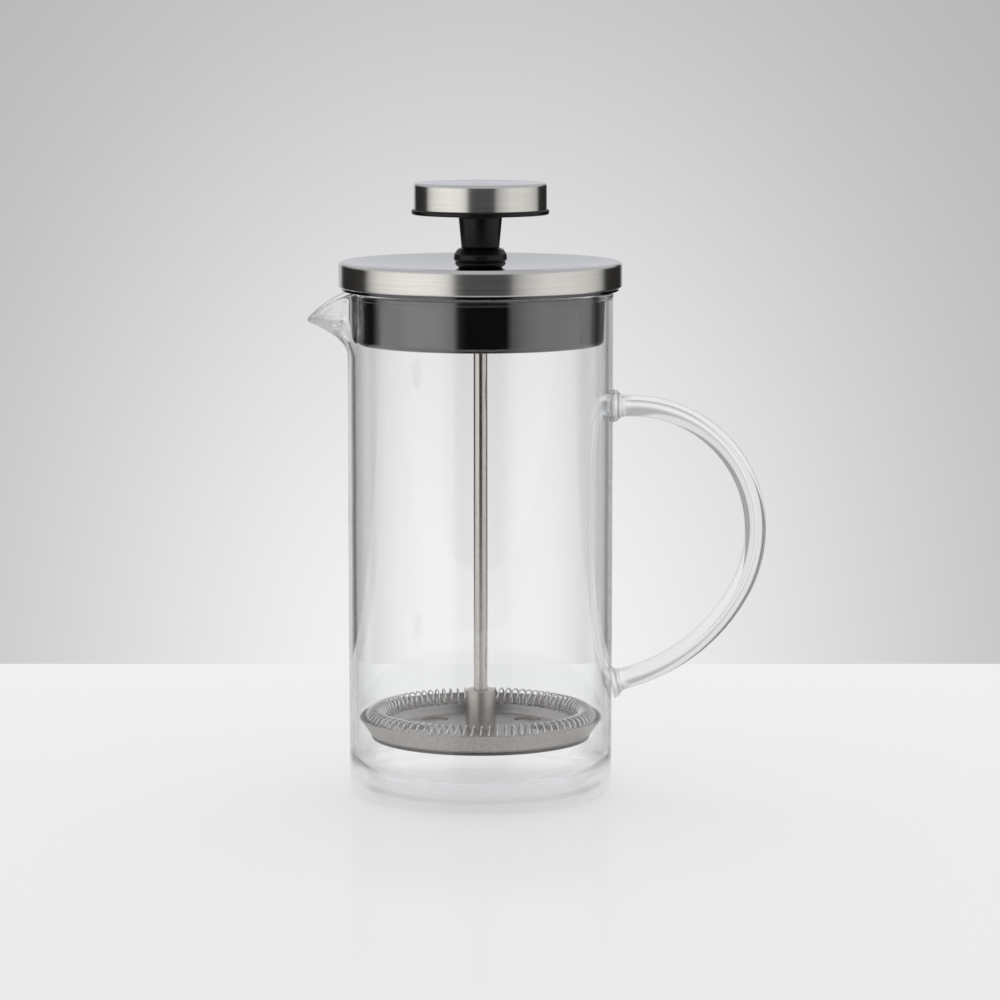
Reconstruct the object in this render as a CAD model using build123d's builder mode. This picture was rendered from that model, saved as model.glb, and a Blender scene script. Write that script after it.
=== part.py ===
from build123d import *
import os
from math import cos, pi, radians, sin

# French press: a glass beaker with a glass handle, a steel lid with a knob, and a
# plunger whose filter is pressed against the glass by a coil spring round its edge.
# Millimetres. The origin is the centre of the beaker's base, +Z up, the handle
# towards +X and the pouring lip towards -X.

os.makedirs("parts", exist_ok=True)

# ---- driving dimensions -------------------------------------------------------

FIT = 0.05                    # radial clearance of a running fit
LOOSE = 0.4                   # radial clearance where nothing is guided
EDGE_BREAK = 0.3              # chamfer or radius on a sharp turned edge
LEVEL = (Align.CENTER, Align.CENTER, Align.MIN)

BEAKER_R = 38.5
BEAKER_HEIGHT = 147.3
GLASS_WALL = 2.0
GLASS_FLOOR = 2.6
BASE_CORNER = 3.4
INNER_CORNER = 2.8
RIM_BEAD_R = 1.15

LIP_REACH = 11.8              # how far the pouring lip stands out from the wall
LIP_FOOT = 128.5              # where the wall begins to lean out into the lip
LIP_TIP = 138.9               # the drooping tip is lower than the rim
LIP_HALF_ANGLE = 0.32         # radians, from the lip's middle to where it dies out
LIP_SWEEP = 2.1               # power of the underside's curve
LIP_ROOT = 0.6                # how deep the lip's solid starts inside the wall
LIP_EDGE_START = (-36.6, 147.3)          # the drooping edge, an arc from the rim
LIP_EDGE_MIDDLE = (-44.4, 143.6)
LIP_EDGE_END = (-51.0, 138.2)            # to just past the tip

HANDLE_ROD_R = 3.1
HANDLE_BEAD_R = 4.7
HANDLE_BEAD_LENGTH = 5.0
HANDLE_START = (37.4, 113.8)             # its path, inside the wall at both ends
HANDLE_UPPER = (44.0, 113.8)
HANDLE_SIDE = (80.2, 77.6)               # the widest point, where it runs straight down
HANDLE_ELBOW = (75.6, 59.5)
HANDLE_LOWER = (43.6, 33.9)
HANDLE_FOOT_RUN = 6.4

SEAT_GAP = 0.2                # the lid's flange over the fire-polished rim
COVER_R = 41.07
COVER_SHEET = 0.7
COVER_TOP = 155.9
COVER_DISH = 1.9              # depth of the dished top
COVER_EDGE_R = 1.2
COVER_MID_R = 25.0            # a point halfway down the dish
COVER_MID_RISE = 0.62
HEM_R = 0.6
HEM_INNER_R = 39.2
COVER_SEAT_R = 8.0            # flat seat for the collar in the middle of the dish
PLUG_SHEET = 0.6
PLUG_FLOOR = 132.1
PLUG_FOOT_R = 35.75
PLUG_MOUTH_R = 36.15
PLUG_CORNER = 1.4
FLANGE_R = 40.2
FLANGE_SHEET = 0.9
FLANGE_BEND = 0.5

COLLAR_TOP = 159.75
COLLAR_R = 7.65
COLLAR_PARTING = 155.7        # joint between the dome and the ring under it
RING_FOOT_R = 6.1
RING_HEAD_R = 7.2
SPIGOT_R = 4.5
WASHER_SHEET = 0.6
WASHER_R = 8.5
NUT_HEIGHT = 1.9
NUT_FLATS = 13.0
BUSH_R = 3.2
BUSH_LENGTH = 12.0

ROD_R = 2.0
ROD_TOP = 173.0
KNOB_TOP = 178.5
KNOB_CAP_R = 19.3
KNOB_CAP_SHEET = 0.8
KNOB_EDGE_R = 1.0
DISC_R = 19.9
DISC_FOOT = 169.4
DISC_HEIGHT = 1.35
STEM_FOOT_R = 5.5
STEM_HEAD_R = 6.35
STEM_SPIGOT_R = 4.6
STEM_ROOT_R = 0.8
INSERT_R = 3.4
INSERT_FOOT = 162.0
INSERT_TOP = 174.0

PLATE_R = 32.0
PLATE_FOOT = 16.65
PLATE_SHEET = 0.9
PLATE_HOLES = 6
PLATE_HOLE_RING_R = 19.0
PLATE_HOLE_R = 7.5
PLATE_EDGE_R = 0.4
MESH_SHEET = 0.5
MESH_RIM_R = 35.6
MESH_RIM = 23.0
SPRING_SHEET = 0.7
TRAY_R = 25.5                 # floor of the spring plate, outside the bend
TRAY_RIM_FOOT_R = 27.4
TRAY_RIM_R = 31.4
TRAY_HOLES = 8
TRAY_HOLE_RING_R = 19.5
TRAY_HOLE_R = 4.0
SLOT_RING_R = 29.4
SLOT_LENGTH = 2.1
SLOT_WIDTH = 1.3
SLOT_DROP = 2.15               # the slotted rim below the coil's middle
COIL_TURNS = 70
COIL_RING_R = 31.05           # radius of the ring that the coil is bent round
COIL_R = 2.6                  # radius of one turn, to the middle of the wire
COIL_LEVEL = 22.45
WIRE_R = 0.25
WIRE_FACETS = 8               # the wire is simplified to an octagon, corner to corner 2 * WIRE_R
HUB_R = 4.35
HUB_TOP = 30.3
STUD_R = 2.5
STUD_ENGAGED = 6.4            # eight turns of 0.8 mm thread
STUD_HEAD_R = 4.5
STUD_HEAD = 0.8
STUD_HEAD_EDGE_R = 0.5
STUD_RELIEF = 0.35            # bored past the stud's tip

# ---- worked out from them -----------------------------------------------------

bore_r = BEAKER_R - GLASS_WALL
flange_foot = BEAKER_HEIGHT + SEAT_GAP
flange_top = flange_foot + FLANGE_SHEET
cover_seat = COVER_TOP - COVER_DISH
washer_foot = PLUG_FLOOR - WASHER_SHEET
nut_foot = washer_foot - NUT_HEIGHT
spigot_foot = nut_foot + 0.2
bush_top = COLLAR_TOP - 0.55
stem_foot = COLLAR_TOP + FIT
disc_top = DISC_FOOT + DISC_HEIGHT
stem_top = INSERT_TOP + 1.5              # closed over the insert
plate_top = PLATE_FOOT + PLATE_SHEET
mesh_floor = plate_top + MESH_SHEET
spring_floor = mesh_floor + SPRING_SHEET
stud_top = spring_floor + STUD_ENGAGED
rod_foot = stud_top + 1.35


def save(piece, name):
    """Label a finished piece and write it as its own STEP file."""
    piece.label = name
    export_step(piece, f"parts/{name}.step")
    print(f"{name:18s} {len(piece.solids())} solid(s)  {piece.volume:10.1f} mm3")


# ---- glass beaker -------------------------------------------------------------

def lip_lean(height):
    """How far the lip's middle stands out from the wall at a height."""
    rise = max(0.0, height - LIP_FOOT) / (LIP_TIP - LIP_FOOT)
    if rise <= 1.0:
        return LIP_REACH * rise ** LIP_SWEEP
    return LIP_REACH + 0.15 * (height - LIP_TIP)


def lip_outline(wall_r, height, half_angle):
    """Points of the lip at one height: the wall's circle, leaning out most at its middle."""
    points = []
    for step in range(-4, 5):
        share = step / 4
        reach = (lip_lean(height) + LIP_ROOT) * cos(share * pi / 2) ** 2
        angle = pi + share * half_angle
        radius = wall_r - LIP_ROOT + reach
        points.append((radius * cos(angle), radius * sin(angle)))
    return points


lip_heights = [LIP_FOOT, 131.5, 134.0, 136.5, LIP_TIP, 143.0]
lip_top = BEAKER_HEIGHT - 0.6            # inside the rim's bead
clear_height = BEAKER_HEIGHT + 5.0       # the cuts run out above the rim
clear_side = -60.0                       # and past the lip
channel_top = BEAKER_HEIGHT + 1.0        # clear of the rim
channel_half_angle = LIP_HALF_ANGLE - GLASS_WALL / BEAKER_R

with BuildPart() as glass_beaker:
    # outside of the body, with the rounded base corner
    with BuildSketch(Plane.XZ):
        with BuildLine():
            Line((0, 0), (BEAKER_R - BASE_CORNER, 0))
            RadiusArc((BEAKER_R - BASE_CORNER, 0), (BEAKER_R, BASE_CORNER), -BASE_CORNER)
            Line((BEAKER_R, BASE_CORNER), (BEAKER_R, BEAKER_HEIGHT - RIM_BEAD_R))
            Line((BEAKER_R, BEAKER_HEIGHT - RIM_BEAD_R), (0, BEAKER_HEIGHT - RIM_BEAD_R))
            Line((0, BEAKER_HEIGHT - RIM_BEAD_R), (0, 0))
        make_face()
        with Locations((bore_r + RIM_BEAD_R, BEAKER_HEIGHT - RIM_BEAD_R)):
            Circle(RIM_BEAD_R)
    revolve(axis=Axis.Z)
    # outside of the lip
    for height in lip_heights + [lip_top]:
        with BuildSketch(Plane.XY.offset(height)):
            outline = lip_outline(BEAKER_R, height, LIP_HALF_ANGLE)
            with BuildLine():
                Spline(*outline)
                Line(outline[-1], outline[0])
            make_face()
    loft()
    # inside of the body
    with BuildSketch(Plane.XZ):
        with BuildLine():
            Line((0, GLASS_FLOOR), (bore_r - INNER_CORNER, GLASS_FLOOR))
            RadiusArc(
                (bore_r - INNER_CORNER, GLASS_FLOOR), (bore_r, GLASS_FLOOR + INNER_CORNER), -INNER_CORNER
            )
            Line((bore_r, GLASS_FLOOR + INNER_CORNER), (bore_r, clear_height))
            Line((bore_r, clear_height), (0, clear_height))
            Line((0, clear_height), (0, GLASS_FLOOR))
        make_face()
    revolve(axis=Axis.Z, mode=Mode.SUBTRACT)
    # pouring channel
    for height in lip_heights + [channel_top]:
        with BuildSketch(Plane.XY.offset(height)):
            outline = lip_outline(bore_r, height, channel_half_angle)
            with BuildLine():
                Spline(*outline)
                Line(outline[-1], outline[0])
            make_face()
    loft(mode=Mode.SUBTRACT)
    # the lip's edge droops from the rim to the tip
    with BuildSketch(Plane.XZ):
        with BuildLine():
            ThreePointArc(LIP_EDGE_START, LIP_EDGE_MIDDLE, LIP_EDGE_END)
            Polyline(
                LIP_EDGE_END,
                (clear_side, LIP_EDGE_END[1]),
                (clear_side, clear_height),
                (LIP_EDGE_START[0], clear_height),
                LIP_EDGE_START,
            )
        make_face()
    extrude(amount=BEAKER_R / 2, both=True, mode=Mode.SUBTRACT)
save(glass_beaker.part, "glass_beaker")


# ---- glass handle: a bent rod, fused to the beaker at a flared bead at each end --

with BuildPart() as glass_handle:
    with BuildLine(Plane.XZ) as grip:
        Line(HANDLE_START, HANDLE_UPPER)
        upper_bend = TangentArc(HANDLE_UPPER, HANDLE_SIDE, tangent=(1, 0))
        side_bend = TangentArc(HANDLE_SIDE, HANDLE_ELBOW, tangent=(0, -1))
        lower_bend = TangentArc(HANDLE_ELBOW, HANDLE_LOWER, tangent=side_bend % 1)
        foot_direction = lower_bend % 1
        foot_end = lower_bend @ 1 + foot_direction * HANDLE_FOOT_RUN
        Line(lower_bend @ 1, foot_end)
    with BuildSketch(Plane(grip.line @ 0, z_dir=grip.line % 0)):
        Circle(HANDLE_ROD_R)
    sweep(path=grip.line)
    upper_bead = Plane(origin=(HANDLE_START[0], 0, HANDLE_START[1]), z_dir=(1, 0, 0))
    lower_bead = Plane(origin=foot_end, z_dir=foot_direction * -1)
    with Locations(upper_bead, lower_bead):
        Cone(HANDLE_BEAD_R, HANDLE_ROD_R, HANDLE_BEAD_LENGTH, align=LEVEL)
    Cylinder(BEAKER_R, BEAKER_HEIGHT, align=LEVEL, mode=Mode.SUBTRACT)
save(glass_handle.part, "glass_handle")


# ---- lid cover: a drawn steel cap with a dished top and a hem rolled under --------

inner_wall_r = COVER_R - COVER_SHEET

with BuildPart() as lid_cover:
    with BuildSketch(Plane.XZ):
        with BuildLine():
            edge_start = (COVER_R, COVER_TOP - COVER_EDGE_R)
            edge_end = (COVER_R - COVER_EDGE_R, COVER_TOP)
            Line((HEM_INNER_R, flange_top), (COVER_R - HEM_R, flange_top))
            RadiusArc((COVER_R - HEM_R, flange_top), (COVER_R, flange_top + HEM_R), -HEM_R)
            Line((COVER_R, flange_top + HEM_R), edge_start)
            RadiusArc(edge_start, edge_end, -COVER_EDGE_R)
            ThreePointArc(edge_end, (COVER_MID_R, cover_seat + COVER_MID_RISE), (COVER_SEAT_R, cover_seat))
            Line((COVER_SEAT_R, cover_seat), (SPIGOT_R + FIT, cover_seat))
            Line((SPIGOT_R + FIT, cover_seat), (SPIGOT_R + FIT, cover_seat - COVER_SHEET))
            Line((SPIGOT_R + FIT, cover_seat - COVER_SHEET), (COVER_SEAT_R, cover_seat - COVER_SHEET))
            ThreePointArc(
                (COVER_SEAT_R, cover_seat - COVER_SHEET),
                (COVER_MID_R, cover_seat + COVER_MID_RISE - COVER_SHEET),
                (inner_wall_r - HEM_R, COVER_TOP - COVER_SHEET),
            )
            Line((inner_wall_r - HEM_R, COVER_TOP - COVER_SHEET), (inner_wall_r, COVER_TOP - COVER_EDGE_R))
            Line((inner_wall_r, COVER_TOP - COVER_EDGE_R), (inner_wall_r, flange_top + COVER_SHEET))
            Line((inner_wall_r, flange_top + COVER_SHEET), (HEM_INNER_R, flange_top + COVER_SHEET))
            Line((HEM_INNER_R, flange_top + COVER_SHEET), (HEM_INNER_R, flange_top))
        make_face()
    revolve(axis=Axis.Z)
save(lid_cover.part, "lid_cover")


# ---- lid plug: a deep-drawn cup that hangs in the beaker's mouth by its flange ----

with BuildPart() as lid_plug:
    with BuildSketch(Plane.XZ):
        with BuildLine():
            foot_turn = PLUG_FLOOR + PLUG_CORNER
            inner_turn = PLUG_CORNER - PLUG_SHEET
            plug_seat = PLUG_FLOOR + PLUG_SHEET
            Line((SPIGOT_R + FIT, PLUG_FLOOR), (PLUG_FOOT_R - PLUG_CORNER, PLUG_FLOOR))
            RadiusArc((PLUG_FOOT_R - PLUG_CORNER, PLUG_FLOOR), (PLUG_FOOT_R, foot_turn), -PLUG_CORNER)
            bend_start = (PLUG_MOUTH_R, flange_foot - FLANGE_BEND)
            bend_end = (PLUG_MOUTH_R + FLANGE_BEND, flange_foot)
            Line((PLUG_FOOT_R, foot_turn), bend_start)
            RadiusArc(bend_start, bend_end, FLANGE_BEND)
            Line(bend_end, (FLANGE_R, flange_foot))
            Line((FLANGE_R, flange_foot), (FLANGE_R, flange_top))
            Line((FLANGE_R, flange_top), (PLUG_MOUTH_R - PLUG_SHEET, flange_top))
            Line((PLUG_MOUTH_R - PLUG_SHEET, flange_top), (PLUG_FOOT_R - PLUG_SHEET, foot_turn))
            RadiusArc(
                (PLUG_FOOT_R - PLUG_SHEET, foot_turn),
                (PLUG_FOOT_R - PLUG_CORNER, plug_seat),
                inner_turn,
            )
            Line((PLUG_FOOT_R - PLUG_CORNER, plug_seat), (SPIGOT_R + FIT, plug_seat))
            Line((SPIGOT_R + FIT, plug_seat), (SPIGOT_R + FIT, PLUG_FLOOR))
        make_face()
    revolve(axis=Axis.Z)
save(lid_plug.part, "lid_plug")


# ---- lid collar: a moulded dome with a threaded spigot down through the lid -------

with BuildPart() as lid_collar:
    with BuildSketch(Plane.XZ):
        with BuildLine():
            bush_foot = bush_top - BUSH_LENGTH
            Line((ROD_R + LOOSE, spigot_foot), (SPIGOT_R, spigot_foot))
            Line((SPIGOT_R, spigot_foot), (SPIGOT_R, COLLAR_PARTING))
            Line((SPIGOT_R, COLLAR_PARTING), (COLLAR_R - 0.5, COLLAR_PARTING))
            Spline(
                (COLLAR_R - 0.5, COLLAR_PARTING),
                (COLLAR_R, COLLAR_PARTING + 1.1),
                (COLLAR_R - 0.12, COLLAR_PARTING + 2.0),
                (COLLAR_R - 0.95, COLLAR_TOP - 0.7),
                (STEM_FOOT_R + 0.2, COLLAR_TOP),
            )
            Line((STEM_FOOT_R + 0.2, COLLAR_TOP), (BUSH_R + FIT, COLLAR_TOP))
            Line((BUSH_R + FIT, COLLAR_TOP), (BUSH_R + FIT, bush_foot))
            Line((BUSH_R + FIT, bush_foot), (ROD_R + LOOSE, bush_foot))
            Line((ROD_R + LOOSE, bush_foot), (ROD_R + LOOSE, spigot_foot))
        make_face()
    revolve(axis=Axis.Z)
save(lid_collar.part, "lid_collar")


# ---- collar ring: the black ring that the dome clamps on to the lid ---------------

with BuildPart() as collar_ring:
    with BuildSketch(Plane.XZ):
        with BuildLine():
            Line((SPIGOT_R, cover_seat), (RING_FOOT_R, cover_seat))
            Spline(
                (RING_FOOT_R, cover_seat),
                (RING_FOOT_R + 0.65, cover_seat + 0.4),
                (RING_HEAD_R + 0.15, cover_seat + 1.15),
                (RING_HEAD_R, COLLAR_PARTING),
            )
            Line((RING_HEAD_R, COLLAR_PARTING), (SPIGOT_R, COLLAR_PARTING))
            Line((SPIGOT_R, COLLAR_PARTING), (SPIGOT_R, cover_seat))
        make_face()
    revolve(axis=Axis.Z)
save(collar_ring.part, "collar_ring")


# ---- collar nut and its washer, under the plug's floor ----------------------------

with BuildPart() as floor_washer:
    with BuildSketch(Plane.XY.offset(washer_foot)):
        Circle(WASHER_R)
        Circle(SPIGOT_R, mode=Mode.SUBTRACT)
    extrude(amount=WASHER_SHEET)
save(floor_washer.part, "floor_washer")

with BuildPart() as collar_nut:
    with BuildSketch(Plane.XY.offset(nut_foot)):
        RegularPolygon(NUT_FLATS / 2, 6, major_radius=False)
        Circle(SPIGOT_R, mode=Mode.SUBTRACT)
    extrude(amount=NUT_HEIGHT)
    chamfer(collar_nut.edges().group_by(Axis.Z)[0].filter_by(GeomType.LINE), EDGE_BREAK)
save(collar_nut.part, "collar_nut")


# ---- rod bush: the low-friction sleeve in the collar that guides the rod ----------

with BuildPart() as rod_bush:
    with BuildSketch(Plane.XY.offset(bush_top - BUSH_LENGTH)):
        Circle(BUSH_R)
        Circle(ROD_R + FIT, mode=Mode.SUBTRACT)
    extrude(amount=BUSH_LENGTH)
    chamfer(rod_bush.edges().group_by(Axis.Z)[-1].sort_by(SortBy.RADIUS)[-1], EDGE_BREAK)
save(rod_bush.part, "rod_bush")


# ---- knob: steel cap, black disc, black stem and its brass insert -----------------

with BuildPart() as knob_cap:
    with BuildSketch(Plane.XY.offset(disc_top)):
        Circle(KNOB_CAP_R)
    extrude(amount=KNOB_TOP - disc_top)
    fillet(knob_cap.edges().group_by(Axis.Z)[-1], KNOB_EDGE_R)
    with BuildSketch(Plane.XY.offset(disc_top)):
        Circle(KNOB_CAP_R - KNOB_CAP_SHEET)
    extrude(amount=KNOB_TOP - disc_top - KNOB_CAP_SHEET, mode=Mode.SUBTRACT)
save(knob_cap.part, "knob_cap")

with BuildPart() as knob_disc:
    with BuildSketch(Plane.XY.offset(DISC_FOOT)):
        Circle(DISC_R)
    extrude(amount=DISC_HEIGHT)
    fillet(knob_disc.edges(), EDGE_BREAK)
    with BuildSketch(Plane.XY.offset(disc_top)):
        Circle(KNOB_CAP_R - KNOB_CAP_SHEET)
    extrude(amount=KNOB_TOP - disc_top - KNOB_CAP_SHEET)
    with BuildSketch(Plane.XY.offset(DISC_FOOT)):
        Circle(STEM_SPIGOT_R)
    extrude(amount=stem_top - DISC_FOOT, mode=Mode.SUBTRACT)
save(knob_disc.part, "knob_disc")

with BuildPart() as knob_stem:
    with BuildSketch(Plane.XZ):
        with BuildLine():
            edge_start = (STEM_FOOT_R - EDGE_BREAK, stem_foot)
            edge_end = (STEM_FOOT_R, stem_foot + EDGE_BREAK)
            root_start = (STEM_HEAD_R, DISC_FOOT - STEM_ROOT_R)
            root_end = (STEM_HEAD_R + STEM_ROOT_R, DISC_FOOT)
            Line((ROD_R + LOOSE, stem_foot), edge_start)
            RadiusArc(edge_start, edge_end, -EDGE_BREAK)
            Line(edge_end, root_start)
            RadiusArc(root_start, root_end, STEM_ROOT_R)
            Line(root_end, (STEM_SPIGOT_R, DISC_FOOT))
            Line((STEM_SPIGOT_R, DISC_FOOT), (STEM_SPIGOT_R, stem_top))
            Line((STEM_SPIGOT_R, stem_top), (0, stem_top))
            Line((0, stem_top), (0, INSERT_TOP))
            Line((0, INSERT_TOP), (INSERT_R, INSERT_TOP))
            Line((INSERT_R, INSERT_TOP), (INSERT_R, INSERT_FOOT))
            Line((INSERT_R, INSERT_FOOT), (ROD_R + LOOSE, INSERT_FOOT))
            Line((ROD_R + LOOSE, INSERT_FOOT), (ROD_R + LOOSE, stem_foot))
        make_face()
    revolve(axis=Axis.Z)
save(knob_stem.part, "knob_stem")

with BuildPart() as knob_insert:
    with BuildSketch(Plane.XY.offset(INSERT_FOOT)):
        Circle(INSERT_R)
        Circle(ROD_R, mode=Mode.SUBTRACT)
    extrude(amount=INSERT_TOP - INSERT_FOOT)
save(knob_insert.part, "knob_insert")


# ---- plunger rod and the hub that joins it to the filter --------------------------

with BuildPart() as plunger_rod:
    with BuildSketch(Plane.XY.offset(rod_foot)):
        Circle(ROD_R)
    extrude(amount=ROD_TOP - rod_foot)
    chamfer(plunger_rod.edges(), EDGE_BREAK)
save(plunger_rod.part, "plunger_rod")

with BuildPart() as filter_hub:
    with BuildSketch(Plane.XY.offset(spring_floor)):
        Circle(HUB_R)
    extrude(amount=HUB_TOP - spring_floor)
    chamfer(filter_hub.edges().group_by(Axis.Z)[-1], EDGE_BREAK)
    with BuildSketch(Plane.XY.offset(rod_foot)):
        Circle(ROD_R)
    extrude(amount=HUB_TOP - rod_foot, mode=Mode.SUBTRACT)
    with BuildSketch(Plane.XY.offset(spring_floor)):
        Circle(STUD_R + FIT)
    extrude(amount=STUD_ENGAGED + STUD_RELIEF, mode=Mode.SUBTRACT)
save(filter_hub.part, "filter_hub")


# ---- spring plate: a pressed tray with big holes, and slots for the coil's turns --

slot_level = COIL_LEVEL - SLOT_DROP
slot_rim_top = slot_level + SPRING_SHEET - 0.1   # drawn a little thinner than the floor
turn_angle = 360 / COIL_TURNS
slot_start = turn_angle * 230 / 360      # where a turn dips through the rim

with BuildPart() as spring_plate:
    with BuildSketch(Plane.XZ):
        with BuildLine():
            Polyline(
                (STUD_R + LOOSE, mesh_floor),
                (TRAY_R, mesh_floor),
                (TRAY_RIM_FOOT_R, slot_level),
                (TRAY_RIM_R, slot_level),
                (TRAY_RIM_R, slot_rim_top),
                (TRAY_RIM_FOOT_R - 0.3, slot_rim_top),
                (TRAY_R - 0.4, spring_floor),
                (STUD_R + LOOSE, spring_floor),
                close=True,
            )
        make_face()
    revolve(axis=Axis.Z)
    with BuildSketch(Plane.XY.offset(mesh_floor)):
        with PolarLocations(TRAY_HOLE_RING_R, TRAY_HOLES):
            Circle(TRAY_HOLE_R)
    extrude(amount=SPRING_SHEET, mode=Mode.SUBTRACT)
    with BuildSketch(Plane.XY.offset(slot_level)):
        with PolarLocations(SLOT_RING_R, COIL_TURNS, start_angle=slot_start):
            SlotOverall(SLOT_LENGTH, SLOT_WIDTH)
    extrude(amount=SPRING_SHEET, mode=Mode.SUBTRACT)
save(spring_plate.part, "spring_plate")


# ---- coil spring: one wire wound into a long coil, bent round and joined as a ring --

def turn_plane(share):
    """Plane across the wire, share of one turn along: round the coil and on round the ring."""
    around_coil = 2 * pi * share
    around_ring = radians(turn_angle) * share
    out = Vector(cos(around_ring), sin(around_ring), 0)
    sideways = Vector(-sin(around_ring), cos(around_ring), 0)
    outward = out * cos(around_coil) + Vector(0, 0, sin(around_coil))
    onward = Vector(0, 0, cos(around_coil)) - out * sin(around_coil)
    radius = COIL_RING_R + COIL_R * cos(around_coil)
    along = onward * (2 * pi * COIL_R) + sideways * (radius * radians(turn_angle))
    centre = out * COIL_RING_R + outward * COIL_R + Vector(0, 0, COIL_LEVEL)
    return Plane(origin=centre, x_dir=outward, z_dir=along)


with BuildPart() as one_turn:
    for half in (0, 1):
        for step in range(7):
            with BuildSketch(turn_plane(half / 2 + step / 12)):
                RegularPolygon(WIRE_R, WIRE_FACETS)
        loft(clean=False)

with BuildPart() as coil_spring:
    with PolarLocations(0, COIL_TURNS):
        add(one_turn.part, clean=False)
save(coil_spring.part, "coil_spring")


# ---- mesh screen: woven steel pressed to a shallow tray with a flared wall --------

with BuildPart() as mesh_screen:
    with BuildSketch(Plane.XZ):
        with BuildLine():
            Polyline(
                (STUD_R + LOOSE, plate_top),
                (PLATE_R, plate_top),
                (MESH_RIM_R, MESH_RIM),
                (MESH_RIM_R - MESH_SHEET, MESH_RIM),
                (PLATE_R - MESH_SHEET, mesh_floor),
                (STUD_R + LOOSE, mesh_floor),
                close=True,
            )
        make_face()
    revolve(axis=Axis.Z)
save(mesh_screen.part, "mesh_screen")


# ---- cross plate: the stiff bottom plate, with its threaded stud ------------------

with BuildPart() as cross_plate:
    with BuildSketch(Plane.XY.offset(PLATE_FOOT)):
        Circle(PLATE_R)
        with PolarLocations(PLATE_HOLE_RING_R, PLATE_HOLES):
            Circle(PLATE_HOLE_R, mode=Mode.SUBTRACT)
        Circle(STUD_R, mode=Mode.SUBTRACT)
    extrude(amount=PLATE_SHEET)
    fillet(cross_plate.edges().group_by(Axis.Z)[0].sort_by(SortBy.RADIUS)[-1], PLATE_EDGE_R)
save(cross_plate.part, "cross_plate")

with BuildPart() as cross_plate_stud:
    with BuildSketch(Plane.XY.offset(PLATE_FOOT - STUD_HEAD)):
        Circle(STUD_HEAD_R)
    extrude(amount=STUD_HEAD)
    fillet(cross_plate_stud.edges().group_by(Axis.Z)[0], STUD_HEAD_EDGE_R)
    with BuildSketch(Plane.XY.offset(PLATE_FOOT)):
        Circle(STUD_R)
    extrude(amount=stud_top - PLATE_FOOT)
    chamfer(cross_plate_stud.edges().group_by(Axis.Z)[-1], EDGE_BREAK)
save(cross_plate_stud.part, "cross_plate_stud")
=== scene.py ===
import math

import bmesh
import bpy
import numpy as np
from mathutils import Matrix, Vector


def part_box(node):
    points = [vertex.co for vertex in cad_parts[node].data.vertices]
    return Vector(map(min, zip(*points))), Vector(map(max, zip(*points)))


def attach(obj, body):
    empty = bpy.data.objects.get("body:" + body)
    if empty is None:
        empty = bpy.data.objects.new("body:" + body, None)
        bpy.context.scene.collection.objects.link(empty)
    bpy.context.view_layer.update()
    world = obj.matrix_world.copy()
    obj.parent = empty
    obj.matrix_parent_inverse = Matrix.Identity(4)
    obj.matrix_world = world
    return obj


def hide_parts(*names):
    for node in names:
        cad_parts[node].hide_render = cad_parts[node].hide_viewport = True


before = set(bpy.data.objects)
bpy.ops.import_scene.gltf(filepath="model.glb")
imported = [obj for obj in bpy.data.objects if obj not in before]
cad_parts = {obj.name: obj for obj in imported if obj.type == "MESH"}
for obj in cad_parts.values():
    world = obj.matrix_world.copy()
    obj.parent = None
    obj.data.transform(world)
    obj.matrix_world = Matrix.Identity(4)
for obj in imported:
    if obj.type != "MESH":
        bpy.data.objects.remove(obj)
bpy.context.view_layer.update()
MM = 0.001

# ---- studio ---------------------------------------------------------------------
# A white table whose top glows as painted light, a pale glow of air behind it, lamps at both
# sides and overhead for the matt surfaces, and a room that only mirrors and glass see. The
# camera looks slightly down from a little above the lid.

scene = bpy.context.scene
scene.view_settings.view_transform = "Standard"
scene.view_settings.look = "None"


class Value:
    """One socket of a shader tree. Sums with it add Math nodes; make() adds any other node."""

    def __init__(self, tree, socket=None):
        self.tree = tree
        self.socket = socket

    def make(self, kind, settings=None, inputs=None, output=0):
        """Add a node: its settings first, then the values or links of its sockets."""
        node = self.tree.nodes.new(kind)
        for name, setting in (settings or {}).items():
            if name == "stops":
                ends = node.color_ramp.elements
                for end, (place, shade) in ((ends[0], setting[0]), (ends[1], setting[-1])):
                    end.position, end.color = place, shade
                for place, shade in setting[1:-1]:
                    ends.new(place).color = shade
            else:
                setattr(node, name, setting)
        for name, given in (inputs or {}).items():
            if isinstance(given, Value):
                self.tree.links.new(given.socket, node.inputs[name])
            else:
                node.inputs[name].default_value = given
        return Value(self.tree, node.outputs[output])

    def sum(self, operation, first, second=0.0):
        """Math node of one or two values."""
        return self.make("ShaderNodeMath", {"operation": operation}, {0: first, 1: second})

    def __neg__(self):
        return self.sum("MULTIPLY", self, -1.0)

    def __add__(self, other):
        return self.sum("ADD", self, other)

    __radd__ = __add__

    def __rsub__(self, other):
        return self.sum("SUBTRACT", other, self)

    def __mul__(self, other):
        return self.sum("MULTIPLY", self, other)

    __rmul__ = __mul__

    def __truediv__(self, other):
        return self.sum("DIVIDE", self, other)

    def __pow__(self, other):
        return self.sum("POWER", self, other)

    def step(self, low, high):
        """0 below low, 1 above high, and a smooth rise between them."""
        settings = {"interpolation_type": "SMOOTHSTEP"}
        return self.make("ShaderNodeMapRange", settings, {"Value": self, "From Min": low, "From Max": high})

    def mix(self, first, second):
        """Colour that goes from first to second as this value goes from 0 to 1."""
        return self.make(
            "ShaderNodeMix", {"data_type": "RGBA"}, {"Factor": self, 6: first, 7: second}, output=2
        )


def new_finish(name, **settings):
    """A material with one Principled shader; the settings go on the shader's own sockets."""
    material = bpy.data.materials.new(name)
    material.use_nodes = True
    shader = material.node_tree.nodes["Principled BSDF"]
    for socket, setting in settings.items():
        shader.inputs[socket.replace("_", " ")].default_value = setting
    return material, shader, Value(material.node_tree)


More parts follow.
